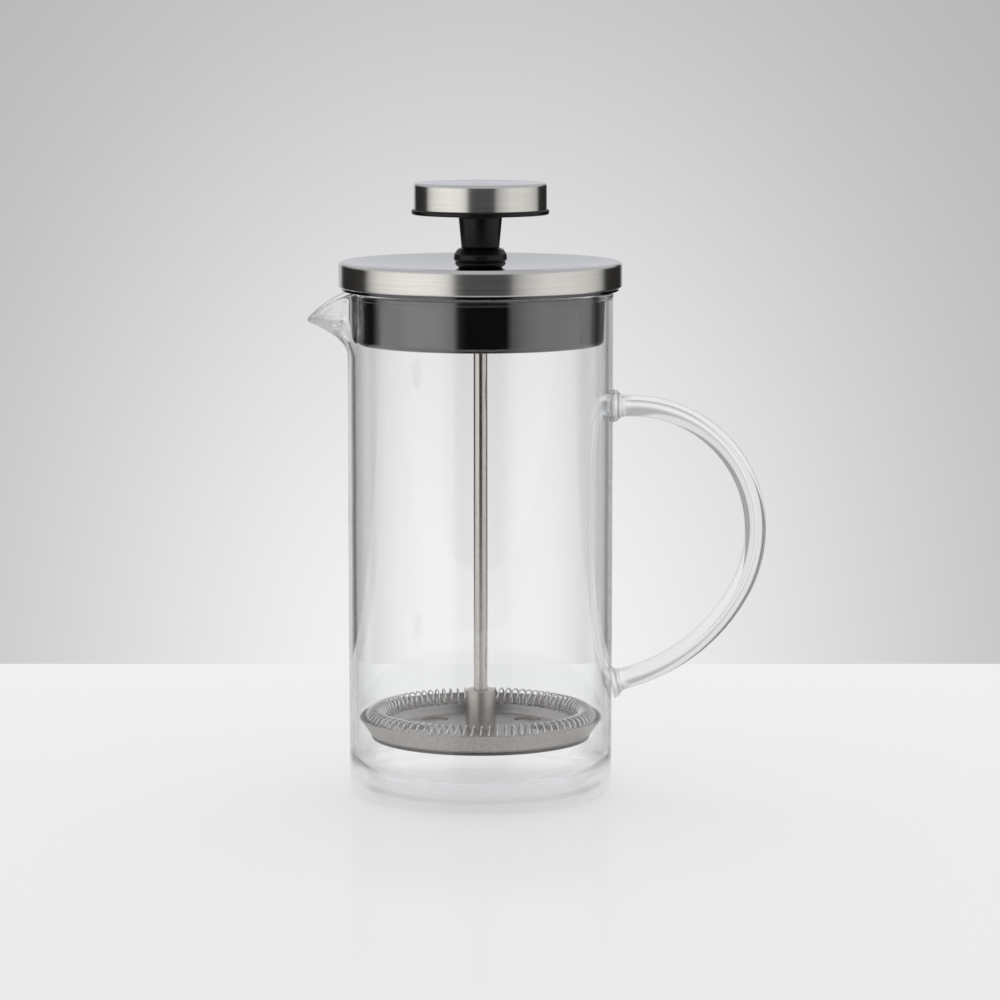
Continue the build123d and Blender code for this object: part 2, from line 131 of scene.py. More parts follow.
def feed(shader, socket, value):
    """Let a varying value drive one of the shader's sockets."""
    value.tree.links.new(value.socket, shader.inputs[socket])


# camera
camera_tilt = 7.41
camera_data = bpy.data.cameras.new("camera")
camera_data.lens = 136.95
camera_data.sensor_width = 36.0
camera_data.clip_end = 30.0
camera = bpy.data.objects.new("camera", camera_data)
camera.location = (0.005675, -1.100017, 0.229197)
camera.rotation_euler = (math.radians(90 - camera_tilt), 0, 0)
scene.collection.objects.link(camera)
scene.camera = camera

# backdrop: a grey wall of air with a pale glow low down behind the table
world = bpy.data.worlds.new("studio")
world.use_nodes = True
scene.world = world
air = Value(world.node_tree)
toward = air.make("ShaderNodeTexCoord", output="Generated")
parts = toward.make("ShaderNodeSeparateXYZ", inputs={"Vector": toward})
across, away, up = (Value(world.node_tree, parts.socket.node.outputs[axis]) for axis in "XYZ")
glow_left, glow_below = 0.006, 0.184
glow_width, glow_height = 0.129, 0.178
from_middle = (across + glow_left) / glow_width
from_low = (up + glow_below) / glow_height
glow = air.sum("EXPONENT", -(from_middle * from_middle + from_low * from_low)) * away.step(0.0, 0.5)
backdrop = 0.427 + 0.483 * glow

# what bends through glass sees a brighter band round the backdrop, and beyond it a grey strip
# on each side, darker on the left, which draws the edges of the handle
behind = away.step(0.4, 0.6)
aside = air.sum("ABSOLUTE", across)
band = aside.step(0.09, 0.16) * (1.0 - aside.step(0.36, 0.44)) * behind
strip = aside.step(0.42, 0.50) * (1.0 - aside.step(0.66, 0.76)) * behind
bent = (backdrop + 0.3 * band) * (1.0 - strip * (0.38 - 0.37 * across))

# brushed and polished metal sees warm softboxes with dark gaps between them, by the angle
# round the room from straight behind the camera, in degrees, plus to the right
pale, dark = (0.49, 0.50, 0.53), (0.018, 0.017, 0.016)
warm = np.array([1.0, 0.99, 0.965])
room_shades = [
    (-180, pale), (-156, pale), (-150, dark), (-107, dark), (-101, 0.50), (-90, 0.80), (-70, 0.96),
    (-55, 1.0), (-35, 0.95), (-24, 0.70), (-19, 0.06), (-12, dark), (24, dark), (28, 0.34), (38, 0.58),
    (55, 0.78), (75, 0.78), (95, 0.68), (108, 0.56), (116, 0.42), (121, dark), (160, dark), (166, pale),
    (180, pale),
]
room_stops = [
    (angle / 360 + 0.5, (*(shade if isinstance(shade, tuple) else shade * warm), 1))
    for angle, shade in room_shades
]
room_strength = 1.27
turn = air.sum("ARCTAN2", across, -away) * (0.5 / math.pi) + 0.5
room = air.make("ShaderNodeValToRGB", {"stops": room_stops}, {"Fac": turn})
room = air.make("ShaderNodeVectorMath", {"operation": "SCALE"}, {0: room, "Scale": room_strength})
# high up and far down the room is even, so that from above the lid's top is pale from all sides
high_tone, low_tone = (0.62, 0.635, 0.67, 1), (0.68, 0.69, 0.72, 1)
mirrored = up.step(0.13, 0.36).mix(room, high_tone)
mirrored = (-up).step(0.45, 0.75).mix(mirrored, low_tone)

# which of them a ray sees: the camera the backdrop, mirrors the room, matt surfaces an even
# tone, and glass the bent backdrop, which its inner skins mirror as well, straight away from
# the camera, unless the ray has gone through four skins
ray = {
    socket.name: Value(world.node_tree, socket)
    for socket in air.make("ShaderNodeLightPath").socket.node.outputs
}
mirrors = ray["Glossy Depth"].step(0.4, 0.6)
through = ray["Transmission Depth"].step(0.4, 0.6)
deep_in = ray["Transmission Depth"].step(3.4, 3.6)
inner_skin = ray["Is Singular Ray"] * through * away.step(0.45, 0.8)
mirrors = mirrors * air.sum("MAXIMUM", 1.0 - inner_skin, deep_in)
matt = ray["Diffuse Depth"].step(0.4, 0.6)
seen = ray["Is Camera Ray"].mix(bent, backdrop)
seen = mirrors.mix(seen, mirrored)
seen = matt.mix(seen, (0.8, 0.8, 0.81, 1))
background = world.node_tree.nodes["Background"]
background.inputs["Strength"].default_value = 1.0
feed(background, "Color", seen)


def softbox(name, place, turn, size, power, tint=(1, 1, 1)):
    """A rectangular lamp that lights the matt surfaces; the mirrored room is in the world."""
    lamp = bpy.data.lights.new(name, "AREA")
    lamp.shape = "RECTANGLE"
    lamp.size, lamp.size_y = size
    lamp.energy = power
    lamp.color = tint
    thing = bpy.data.objects.new(name, lamp)
    thing.location = place
    thing.rotation_euler = [math.radians(a) for a in turn]
    thing.visible_camera = False
    thing.visible_transmission = False
    thing.visible_glossy = False
    scene.collection.objects.link(thing)


side_size, side_power, side_tint = (1.6, 2.0), 1.5, (1.0, 0.99, 0.97)
softbox("softbox_left", (-1.3, -0.6, 0.5), (0, -80, 0), side_size, side_power, side_tint)
softbox("softbox_right", (1.3, -0.6, 0.5), (0, 80, 0), side_size, side_power, side_tint)
softbox("softbox_top", (0.0, 0.7, 1.2), (-25, 0, 0), (1.8, 1.0), 5)

# table, whose top glows as painted light, so that the shadows on it stay weak
table_side, table_front, table_back = 1.6, -0.36, 0.2163
table_mesh = bpy.data.meshes.new("table")
table_mesh.from_pydata([
    (-table_side, table_front, 0.0), (table_side, table_front, 0.0),
    (table_side, table_back, 0.0), (-table_side, table_back, 0.0),
], [], [(0, 1, 2, 3)])
table = bpy.data.objects.new("table", table_mesh)
scene.collection.objects.link(table)
table.visible_glossy = False
table_mesh.materials.append(new_finish(
    "white_table_top_painted_glow", Base_Color=(0.33, 0.33, 0.332, 1), Roughness=0.12, Specular_IOR_Level=0.01,
    Emission_Color=(0.51, 0.51, 0.512, 1), Emission_Strength=1.0,
)[0])

# ---- glass beaker ---------------------------------------------------------------
# Borosilicate tube, closed at the foot and fire-polished at the rim, where one side was
# pulled out and down into a pouring lip while the glass was soft.

beaker_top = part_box("glass_beaker")[1].z
beaker_r = 38.5 * MM
glass_wall = 2.0 * MM
glass_floor = 2.6 * MM
foot_corner = 3.4 * MM
floor_corner = 2.8 * MM
rim_bead_r = 1.15 * MM
lip_reach = 11.8 * MM
lip_foot = 128.5 * MM
lip_tip = 138.9 * MM
lip_half_angle = 0.38
# three points of the lip's drooping edge, as (distance from the axis, height)
lip_edge = np.array([(36.6, 147.3), (44.4, 143.6), (51.0, 138.2)]) * MM


def grid_mesh(name, grid, along_closed=False):
    """Mesh of a grid of points, shape (along, around, 3), each face joining four neighbours.

    It closes on itself around, and along as well if asked; seams and poles are merged.
    """
    along, around = grid.shape[:2]
    index = np.arange(along * around).reshape(along, around)
    index = np.concatenate([index, index[:, :1]], axis=1)
    if along_closed:
        index = np.concatenate([index, index[:1]], axis=0)
    corners = [index[:-1, :-1], index[:-1, 1:], index[1:, 1:], index[1:, :-1]]
    faces = np.stack(corners, axis=-1).reshape(-1, 4)
    mesh = bpy.data.meshes.new(name)
    mesh.from_pydata(grid.reshape(-1, 3).tolist(), [], faces.tolist())
    shape = bmesh.new()
    shape.from_mesh(mesh)
    bmesh.ops.remove_doubles(shape, verts=shape.verts, dist=1e-7)
    bmesh.ops.dissolve_degenerate(shape, edges=shape.edges, dist=1e-7)
    bmesh.ops.recalc_face_normals(shape, faces=shape.faces)
    shape.to_mesh(mesh)
    shape.free()
    mesh.shade_smooth()
    return mesh


def add_piece(name, mesh, material, body, node):
    """Put a finished mesh in the scene, on its body, standing for its CAD node."""
    piece = bpy.data.objects.new(name, mesh)
    mesh.materials.append(material)
    scene.collection.objects.link(piece)
    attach(piece, body)
    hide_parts(node)


def lip_share(angle):
    """1 at the lip's middle, falling to 0 as a squared cosine at its two ends."""
    turn = np.abs(angle - math.pi)
    bell = np.cos(np.clip(turn / lip_half_angle, 0, 1) * math.pi / 2) ** 2
    return np.where(turn < lip_half_angle, bell, 0.0)


def lip_lean(height):
    """How far the wall leans out at the lip's middle.

    It is reach * rise ** 2.1 up to the tip's height, and above that a slight lean of 0.15.
    """
    rise = np.clip((height - lip_foot) / (lip_tip - lip_foot), 0, None)
    curve = lip_reach * np.clip(rise, 0, 1) ** 2.1
    return np.where(rise <= 1, curve, lip_reach + 0.15 * (height - lip_tip))


def lip_droop(reach):
    """Height of the lip's edge at a distance from the axis: an arc through three points."""
    steps = lip_edge[1:] - lip_edge[0]
    centre = np.linalg.solve(2 * steps, (lip_edge[1:] ** 2).sum(axis=1) - (lip_edge[0] ** 2).sum())
    radius = np.linalg.norm(lip_edge[0] - centre)
    height = centre[1] + np.sqrt(np.clip(radius ** 2 - (reach - centre[0]) ** 2, 0, None))
    return np.where(reach < lip_edge[0, 0], beaker_top, height)


def beaker_grid(around=360):
    """Beaker surface: base centre, outer wall, bead, inner wall and floor centre, all round.

    At each angle the wall's middle line leans out by lean(height) * share(angle) and ends
    where it meets the drooping edge; the two skins lie half a wall each side of that line.
    """
    angle = np.linspace(0, 2 * math.pi, around, endpoint=False)
    share = lip_share(angle)
    middle_r = beaker_r - glass_wall / 2
    bore = beaker_r - glass_wall

    def middle(height):
        return middle_r + lip_lean(height) * share

    # the edge's height at each angle, found by halving the span that holds it
    low = np.full(around, lip_foot)
    high = np.full(around, beaker_top)
    for _ in range(40):
        half = (low + high) / 2
        above = half > lip_droop(middle(half) * np.abs(np.cos(angle)))
        high = np.where(above & (share > 0), half, high)
        low = np.where(above & (share > 0), low, half)
    edge = (low + high) / 2
    # the wall stops short of the edge, to leave room for the bead
    bead = rim_bead_r * (1 - 0.2 * share)
    slant = (middle(edge) - middle(edge - 1e-4)) / 1e-4
    edge = edge - 1.5 * bead / np.sqrt(1 + slant ** 2)
    # the wall, as heights from the foot's corner to just under the bead; it is thinner at the lip
    plain = np.linspace(0, 1, 14)[:, None] * (lip_foot - foot_corner) + foot_corner + 0 * angle
    lean = lip_foot + np.linspace(0, 1, 34)[1:, None] * (edge - lip_foot)
    heights = np.concatenate([plain, lean])
    line = middle(heights)
    slope = (middle(heights + 1e-5) - middle(heights - 1e-5)) / 2e-5
    length = np.sqrt(1 + slope ** 2)
    normal_r, normal_z = 1 / length, -slope / length
    thin = np.clip((heights - lip_foot) / (beaker_top - lip_foot), 0, 1) * share
    half_wall = glass_wall / 2 * (1 - 0.25 * thin)
    outer = np.stack([line + normal_r * half_wall, heights + normal_z * half_wall], axis=-1)
    inner = np.stack([line - normal_r * half_wall, heights - normal_z * half_wall], axis=-1)
    # the fire-polished bead round the edge
    turn = np.radians(np.linspace(-24, 204, 15))[1:-1, None]
    n_r, n_z = normal_r[-1], normal_z[-1]
    rise = bead * np.sin(np.radians(30))
    mid_r, mid_z = line[-1] - n_z * rise, heights[-1] + n_r * rise
    cap = np.stack([
        mid_r + bead * (np.cos(turn) * n_r - np.sin(turn) * n_z),
        mid_z + bead * (np.cos(turn) * n_z + np.sin(turn) * n_r),
    ], axis=-1)
    # foot corners, outside and inside
    bend = np.linspace(0, math.pi / 2, 10)[:-1, None]
    outer_foot = np.stack([
        beaker_r - foot_corner + foot_corner * np.sin(bend) + 0 * angle,
        foot_corner - foot_corner * np.cos(bend) + 0 * angle,
    ], axis=-1)
    inner_foot = np.stack([
        bore - floor_corner + floor_corner * np.cos(bend) + 0 * angle,
        glass_floor + floor_corner - floor_corner * np.sin(bend) + 0 * angle,
    ], axis=-1)[1:]
    # a slightly hollow underside, and a floor with the faint rings that the spinning mould leaves
    ring_height, ring_pitch, ring_reach = 0.10 * MM, 5.2 * MM, 30 * MM
    hollow_height, hollow_r = 0.35 * MM, 31 * MM
    under_r = np.linspace(0, 1, 26)[:-1, None] * (beaker_r - foot_corner)
    fade = np.clip(1 - under_r / ring_reach, 0, 1)
    ring_wave = ring_height * np.sin(under_r / ring_pitch * 2 * math.pi) * fade
    hollow = hollow_height * np.clip(1 - under_r / hollow_r, 0, 1)
    under = np.stack([under_r + 0 * angle, hollow + 0 * angle], axis=-1)
    over = np.stack([under_r * 0.99 + 0 * angle, glass_floor + ring_wave + 0 * angle], axis=-1)[::-1]
    profile = np.concatenate([under, outer_foot, outer, cap, inner[::-1], inner_foot, over])
    radius, height = profile[..., 0], profile[..., 1]
    return np.stack([radius * np.cos(angle), radius * np.sin(angle), height], axis=-1)


def lathe_coordinates(value):
    """Object position as (cosine, sine, radius, height): the axes of a turned piece."""
    place = value.make("ShaderNodeTexCoord", output="Object")
    split = value.make("ShaderNodeSeparateXYZ", inputs={"Vector": place})
    x, y, z = (Value(value.tree, split.socket.node.outputs[axis]) for axis in "XYZ")
    radius = (x * x + y * y + 1e-12) ** 0.5
    return x / radius, y / radius, radius, z


def clear_glass():
    """Colourless glass: a faint long-wave ripple from blowing and a trace of wear."""
    material, shader, value = new_finish(
        "clear_glass", Base_Color=(0.985, 0.99, 0.988, 1), Transmission_Weight=1.0, IOR=1.474
    )
    place = value.make("ShaderNodeTexCoord", output="Object")
    ripple = value.make("ShaderNodeTexNoise", inputs={"Vector": place, "Scale": 60.0, "Detail": 1.0})
    marks = value.make("ShaderNodeTexNoise", inputs={"Vector": place, "Scale": 900.0, "Detail": 2.0})
    feed(shader, "Roughness", marks.step(0.62, 0.9) * 0.03)
    cosine, _, radius, height = lathe_coordinates(value)
    facing = value.make("ShaderNodeLayerWeight", inputs={"Blend": 0.5}, output="Facing")
    # the foot is so clear that it nearly vanishes: its edges stay, and faint rings under the floor
    rings = value.sum("SINE", radius * (2 * math.pi / (4.6 * MM))) * 0.5 + 0.5
    inner_rings = rings ** 3.0 * (1.0 - radius.step(16 * MM, 30 * MM))
    foot = 0.02 + 0.06 * inner_rings + 0.35 * facing ** 9.0
    above = height.step(2.0 * MM, 16.5 * MM)
    # painted light: low on the wall the dark edges fade out in alpha, for the white table's light all round
    painted_table_light = facing ** 6.0 * (1.0 - height.step(35 * MM, 52 * MM))
    # the handle's fused roots and the thin lip let half of the light straight through
    off_wall = radius.step(38.52 * MM, 38.6 * MM) * (1.0 - radius.step(40 * MM, 45 * MM))
    root = off_wall * cosine.step(0.9, 0.95)
    lip = radius.step(39.5 * MM, 42 * MM) * (-cosine).step(0.9, 0.95)
    body = above + (1.0 - above) * foot
    feed(shader, "Alpha", body * (1.0 - 0.5 * (root + lip)) * (1.0 - painted_table_light))
    bump = value.make("ShaderNodeBump", inputs={"Height": ripple, "Strength": 0.06, "Distance": 0.0004})
    feed(shader, "Normal", bump)
    return material


glass = clear_glass()
add_piece("beaker", grid_mesh("beaker", beaker_grid()), glass, "beaker", "glass_beaker")

# ---- glass handle ---------------------------------------------------------------
# A bent glass rod, fused hot to the wall at each end, where it swells to a bead with the
# ring that the fusing left round it.

handle_rod_r = 3.1 * MM
root_top = [(38.0, 113.8), (44.0, 113.8)]
root_low = [(43.6, 33.87), (37.9, 32.2455)]
# centre, radius, angles from and to in degrees, and points of each bend, from the top down
bends = [
    ((44.0, 77.6), 36.2, 90, 0, 60),
    ((42.3, 77.6), 37.9, 0, -28.5, 22),
    ((29.1, 84.75), 52.9, -28.5, -74.1, 50),
]


def arc(centre, radius, start, end, count):
    """Points of an arc in the XZ plane, angles in degrees from +X."""
    angle = np.radians(np.linspace(start, end, count))
    return np.stack([centre[0] + radius * np.cos(angle), centre[1] + radius * np.sin(angle)], axis=-1) * MM


def tube_grid(line, radius, around=40):
    """Round tube along a line in the XZ plane: at each point a circle across its direction."""
    ahead = np.gradient(line, axis=0)
    ahead /= np.linalg.norm(ahead, axis=1)[:, None]
    normal = np.stack([ahead[:, 1], -ahead[:, 0]], axis=-1)
    angle = np.linspace(0, 2 * math.pi, around, endpoint=False)
    out = np.cos(angle)[None, :, None] * radius[:, None, None]
    side = np.sin(angle)[None, :] * radius[:, None]
    flat = line[:, None, :] + normal[:, None, :] * out
    return np.stack([flat[..., 0], side, flat[..., 1]], axis=-1)


handle_line = np.concatenate([
    np.linspace(*root_top, 25)[:-1] * MM,
    *[arc(*bend)[:-1] for bend in bends],
    np.linspace(*root_low, 25) * MM,
])
walked = np.concatenate([[0], np.cumsum(np.linalg.norm(np.diff(handle_line, axis=0), axis=1))])


def bead_radius(distance):
    """Rod radius near an end: a fused bead, a ring on it, and a quick neck to the rod."""
    bead = 1.9 * MM * np.exp(-(distance / (2.3 * MM)) ** 2)
    ring = 0.35 * MM * np.exp(-((distance - 1.7 * MM) / (0.45 * MM)) ** 2)
    return bead + ring


handle_radius = handle_rod_r + bead_radius(walked) + bead_radius(walked[-1] - walked)
handle_grid = tube_grid(handle_line, handle_radius)
handle_ends = [
    np.repeat(ring.mean(axis=1, keepdims=True), handle_grid.shape[1], axis=1)
    for ring in (handle_grid[:1], handle_grid[-1:])
]
handle_grid = np.concatenate([handle_ends[0], handle_grid, handle_ends[1]])
add_piece("handle", grid_mesh("handle", handle_grid), glass, "beaker", "glass_handle")

# ---- lid cover ------------------------------------------------------------------
# A shallow steel cap, drawn with a dished top, its edge rolled under as a hem. The side
# and the top are brushed round the axis on a lathe.

cover_low, cover_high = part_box("lid_cover")
cover_r = cover_high.x / MM
cover_top = cover_high.z / MM
cover_foot = cover_low.z / MM
sheet = 0.7
hem_r = 39.2
cover_edge = 1.2
dish_rim_r = 36.5
dish_depth = 1.9
seat_r = 8.0
collar_overlap = 3.1
hole_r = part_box("lid_collar")[1].x / MM - collar_overlap


def outline_of(corners, closed=True, steps=7):
    """Outline through (radius, height, rounding) corners, in millimetres.

    Each rounding is an arc between its two tangent points, and straight spans keep a point
    close to each end, so that flat faces stay flat under smooth shading.
    """
    corner = np.array(corners, float)
    points = []
    for i, (radius, height, rounding) in enumerate(corner):
        here = np.array([radius, height])
        if not closed and i in (0, len(corner) - 1):
            points.append(here[None])
            continue
        before = corner[i - 1, :2] - here
        after = corner[(i + 1) % len(corner), :2] - here
        reach = 0.45 * min(np.linalg.norm(before), np.linalg.norm(after))
        before /= np.linalg.norm(before)
        after /= np.linalg.norm(after)
        half = math.acos(np.clip(before @ after, -1, 1)) / 2
        run = min(max(rounding, 0.02) / math.tan(half), reach)
        radius_used = run * math.tan(half)
        bisector = (before + after) / np.linalg.norm(before + after)
        centre = here + bisector * radius_used / math.sin(half)
        first, last = here + before * run - centre, here + after * run - centre
        sweep = math.pi - 2 * half
        share = np.linspace(0, 1, steps + 1)[:, None]
        bend = (np.sin((1 - share) * sweep) * first + np.sin(share * sweep) * last) / math.sin(sweep)
        support = min(0.12, reach * 0.1)
        points.append((here + before * (run + support))[None])
        points.append(centre + bend)
        points.append((here + after * (run + support))[None])
    return np.concatenate(points) * MM


def turned(name, outline, closed=True, around=256):
    """Surface turned round the Z axis from an outline of (radius, height) points."""
    angle = np.linspace(0, 2 * math.pi, around, endpoint=False)
    radius, height = outline[:, :1], outline[:, 1:]
    grid = np.stack([radius * np.cos(angle), radius * np.sin(angle), height + 0 * angle], axis=-1)
    return grid_mesh(name, grid, along_closed=closed)


def brushed_steel(name, tint, rough, groove=0.5, stretch=0.85, dark=0.12, edge_r=None):
    """Steel brushed round the axis: grooves that run round, fine ones over broader ones."""
    material, shader, value = new_finish(
        name, Metallic=1.0, Anisotropic=stretch, Anisotropic_Rotation=0.25
    )
    cosine, sine, radius, height = lathe_coordinates(value)
    across = radius + height
    layers = []
    for stretched, spacing, detail in ((1.4, 7000.0, 3.0), (0.8, 1300.0, 2.0)):
        place = value.make("ShaderNodeCombineXYZ", inputs={
            "X": cosine * stretched, "Y": sine * stretched, "Z": across * spacing,
        })
        noise = {"Vector": place, "Scale": 1.0, "Detail": detail}
        layers.append(value.make("ShaderNodeTexNoise", inputs=noise))
    grain = layers[0] * 0.6 + layers[1] * 0.4
    deep = (*(c * (1 - dark) for c in tint[:3]), 1.0)
    feed(shader, "Base Color", grain.step(0.3, 0.7).mix(deep, tint))
    coarse = 0.8 + grain * 0.4
    if edge_r:
        # a flat top is finer than the side below its rounded edge
        coarse = coarse * (0.35 + 0.65 * radius.step(edge_r - 0.6 * MM, edge_r))
    feed(shader, "Roughness", coarse * rough)
    bump = value.make("ShaderNodeBump", inputs={"Height": grain, "Strength": groove, "Distance": 0.00001})
    feed(shader, "Normal", bump)
    return material


dish_r = np.linspace(dish_rim_r, seat_r, 9)[:-1]
dish_floor = cover_top - dish_depth
dish_z = dish_floor + dish_depth * ((dish_r - seat_r) / (cover_r - cover_edge - seat_r)) ** 2
cover_outline = outline_of(
    [(hem_r, cover_foot, 0.1), (cover_r, cover_foot, 0.6), (cover_r, cover_top, cover_edge)]
    + [(r, z, 60.0) for r, z in zip(dish_r, dish_z)]
    + [(seat_r, dish_floor, 2.0), (hole_r, dish_floor, 0.1)]
    + [(hole_r, dish_floor - sheet, 0.1), (seat_r, dish_floor - sheet, 2.0)]
    + [(r, z - sheet, 60.0) for r, z in zip(dish_r[::-1], dish_z[::-1])]
    + [(cover_r - sheet, cover_top - sheet, 0.5), (cover_r - sheet, cover_foot + sheet, 0.2)]
    + [(hem_r, cover_foot + sheet, 0.1)]
)
lid_tint = (0.69, 0.675, 0.65, 1)
cover_steel = brushed_steel("brushed_cover", lid_tint, 0.24, edge_r=cover_high.x - 0.3 * MM)
add_piece("cover", turned("cover", cover_outline), cover_steel, "lid", "lid_cover")

# ---- lid plug -------------------------------------------------------------------
# A deep-drawn cup that hangs in the beaker's mouth by its flange, polished to a mirror and
# darkened as painted shade. Its wall is slightly tapered, and its floor carries the collar.

plug_low, plug_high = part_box("lid_plug")
flange_r = plug_high.x / MM
flange_top = plug_high.z / MM
plug_floor = plug_low.z / MM
plug_foot_r = 35.75
plug_mouth_r = 36.15
plug_sheet = 0.6
flange_sheet = 0.9
flange_foot = flange_top - flange_sheet
plug_outline = outline_of([
    (hole_r, plug_floor, 0.1), (plug_foot_r, plug_floor, 1.4), (plug_mouth_r, flange_foot, 0.5),
    (flange_r, flange_foot, 0.15), (flange_r, flange_top, 0.15),
    (plug_mouth_r - plug_sheet, flange_top, 0.3),
    (plug_foot_r - plug_sheet, plug_floor + plug_sheet, 0.8), (hole_r, plug_floor + plug_sheet, 0.1),
])


def polished_painted_shade(name, tint, rough):
    """Mirror finish, darkened by its tint as painted shade, with faint polishing swirls round the axis."""
    material, shader, value = new_finish(name, Metallic=1.0)
    cosine, sine, radius, height = lathe_coordinates(value)
    place = value.make("ShaderNodeCombineXYZ", inputs={
        "X": cosine * 6.0, "Y": sine * 6.0, "Z": (radius + height) * 900.0,
    })
    swirl = value.make("ShaderNodeTexNoise", inputs={"Vector": place, "Scale": 1.0, "Detail": 3.0})
    deep = (*(c * 0.9 for c in tint[:3]), 1.0)
    feed(shader, "Base Color", swirl.step(0.3, 0.7).mix(deep, tint))
    feed(shader, "Roughness", rough * 0.7 + swirl * (rough * 0.6))
    bump = value.make("ShaderNodeBump", inputs={"Height": swirl, "Strength": 0.15, "Distance": 0.00001})
    feed(shader, "Normal", bump)
    return material


# painted shade: the tint is far darker than the cover's steel, for the shade under the lid behind the glass
plug_steel = polished_painted_shade("polished_plug", (0.108, 0.104, 0.111, 1), 0.1)
add_piece("plug", turned("plug", plug_outline), plug_steel, "lid", "lid_plug")

# ---- lid collar and the ring under it -------------------------------------------
# Black moulded dome with a threaded spigot down through the lid, clamped on a ring of the
# same plastic; the parting between the two shows as one soft groove.

collar_low, collar_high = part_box("lid_collar")
collar_foot, collar_top = collar_low.z / MM, collar_high.z / MM
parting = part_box("collar_ring")[1].z / MM
ring_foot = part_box("collar_ring")[0].z / MM
collar_bore = 2.45
spigot_r = 4.5
bush_r = 3.3
bush_depth = 12.4


def black_plastic(name, shade, rough):
    """Black moulded plastic: a fine satin grain and slightly lighter scuffs."""
    material, shader, value = new_finish(name, Specular_IOR_Level=0.26)
    place = value.make("ShaderNodeTexCoord", output="Object")
    grain = value.make("ShaderNodeTexNoise", inputs={"Vector": place, "Scale": 5000.0, "Detail": 2.0})
    scuff = value.make("ShaderNodeTexNoise", inputs={"Vector": place, "Scale": 260.0, "Detail": 4.0})
    lighter = (*[shade * 2.2] * 3, 1.0)
    feed(shader, "Base Color", scuff.step(0.5, 0.85).mix((shade, shade, shade * 1.06, 1), lighter))
    feed(shader, "Roughness", rough * 0.85 + scuff * (rough * 0.3))
    bump = value.make("ShaderNodeBump", inputs={"Height": grain, "Strength": 0.25, "Distance": 0.00001})
    feed(shader, "Normal", bump)
    return material


plastic = black_plastic("black_plastic", 0.004, 0.3)
collar_outline = outline_of([
    (collar_bore, collar_foot, 0.1), (spigot_r, collar_foot, 0.3), (spigot_r, parting, 0.05),
    (7.05, parting, 0.1), (7.75, parting + 0.55, 0.7), (7.62, parting + 2.1, 1.2),
    (6.7, collar_top - 0.5, 0.8), (5.6, collar_top, 0.25), (bush_r, collar_top, 0.15),
    (bush_r, collar_top - bush_depth, 0.1), (collar_bore, collar_top - bush_depth - 0.2, 0.1),
])
collar_mesh = turned("collar", collar_outline, around=128)
add_piece("collar", collar_mesh, plastic, "lid", "lid_collar")
ring_bore = spigot_r + 0.05
ring_outline = outline_of([
    (ring_bore, ring_foot, 0.05), (6.1, ring_foot, 0.1), (6.9, ring_foot + 0.45, 0.6),
    (7.45, parting - 0.5, 0.5), (7.1, parting, 0.15), (ring_bore, parting, 0.05),
])
ring_mesh = turned("ring", ring_outline, around=128)
add_piece("ring", ring_mesh, plastic, "lid", "collar_ring")

# ---- knob -----------------------------------------------------------------------
# Brushed steel cap pressed over a black disc, and a black stem that widens upwards and
# holds the brass insert for the rod's end.

cap_low, cap_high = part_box("knob_cap")
cap_r = cap_high.x / MM
cap_top = cap_high.z / MM
cap_foot = cap_low.z / MM
cap_sheet = 0.8
cap_outline = outline_of([
    (0.0, cap_top, 0), (cap_r, cap_top, 1.0), (cap_r, cap_foot, 0.12), (cap_r - cap_sheet, cap_foot, 0.1),
    (cap_r - cap_sheet, cap_top - cap_sheet, 0.4), (0.0, cap_top - cap_sheet, 0),
], closed=False)
knob_steel = brushed_steel("brushed_knob", lid_tint, 0.24, edge_r=cap_high.x - 0.3 * MM)
cap_mesh = turned("knob_cap_shell", cap_outline, closed=False)
add_piece("knob_cap_shell", cap_mesh, knob_steel, "plunger", "knob_cap")

disc_low, disc_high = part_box("knob_disc")
disc_foot, disc_top = disc_low.z / MM, disc_high.z / MM
disc_r = 19.9
disc_shoulder_r = 18.45
tenon_r = 4.6
disc_bore = tenon_r + 0.02
disc_outline = outline_of([
    (disc_bore, disc_foot, 0.1), (disc_r, disc_foot, 0.35), (disc_r, cap_foot, 0.35),
    (disc_shoulder_r, cap_foot, 0.05), (disc_shoulder_r, disc_top, 0.3), (disc_bore, disc_top, 0.1),
])
add_piece("disc", turned("disc", disc_outline), plastic, "plunger", "knob_disc")

stem_low, stem_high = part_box("knob_stem")
stem_foot, stem_top = stem_low.z / MM, stem_high.z / MM
stem_bore = 2.4
insert_r = 3.4
insert_foot, insert_top = 162.0, 174.0
stem_outline = np.concatenate([
    outline_of([
        (stem_bore + 0.05, stem_foot, 0.1), (5.5, stem_foot, 0.35), (6.3, disc_foot - 0.9, 1.2),
        (7.1, disc_foot, 0.05), (tenon_r, disc_foot, 0.05), (tenon_r, stem_top, 0.2), (0.0, stem_top, 0),
    ], closed=False),
    outline_of([
        (0.0, insert_top, 0), (insert_r, insert_top, 0.1), (insert_r, insert_foot, 0.1),
        (stem_bore, insert_foot, 0.1), (stem_bore, stem_foot, 0.1),
    ], closed=False),
])
stem_mesh = turned("stem", stem_outline, around=128)
add_piece("stem", stem_mesh, plastic, "plunger", "knob_stem")

# ---- plunger rod and filter hub -------------------------------------------------
# Ground steel rod, and the turned steel sleeve at its lower end that takes the filter's
# stud. The sleeve's top edge is slightly rounded.

rod_low, rod_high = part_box("plunger_rod")
rod_foot, rod_top = rod_low.z / MM, rod_high.z / MM
rod_r = 2.0
rod_outline = outline_of([
    (0.0, rod_foot, 0), (rod_r, rod_foot, 0.3), (rod_r, rod_top, 0.3), (0.0, rod_top, 0),
], closed=False)
rod_steel = brushed_steel("ground_rod", (0.64, 0.61, 0.585, 1), 0.18, groove=0.3, stretch=0.7)
rod_mesh = turned("rod", rod_outline, closed=False, around=64)
add_piece("rod", rod_mesh, rod_steel, "plunger", "plunger_rod")

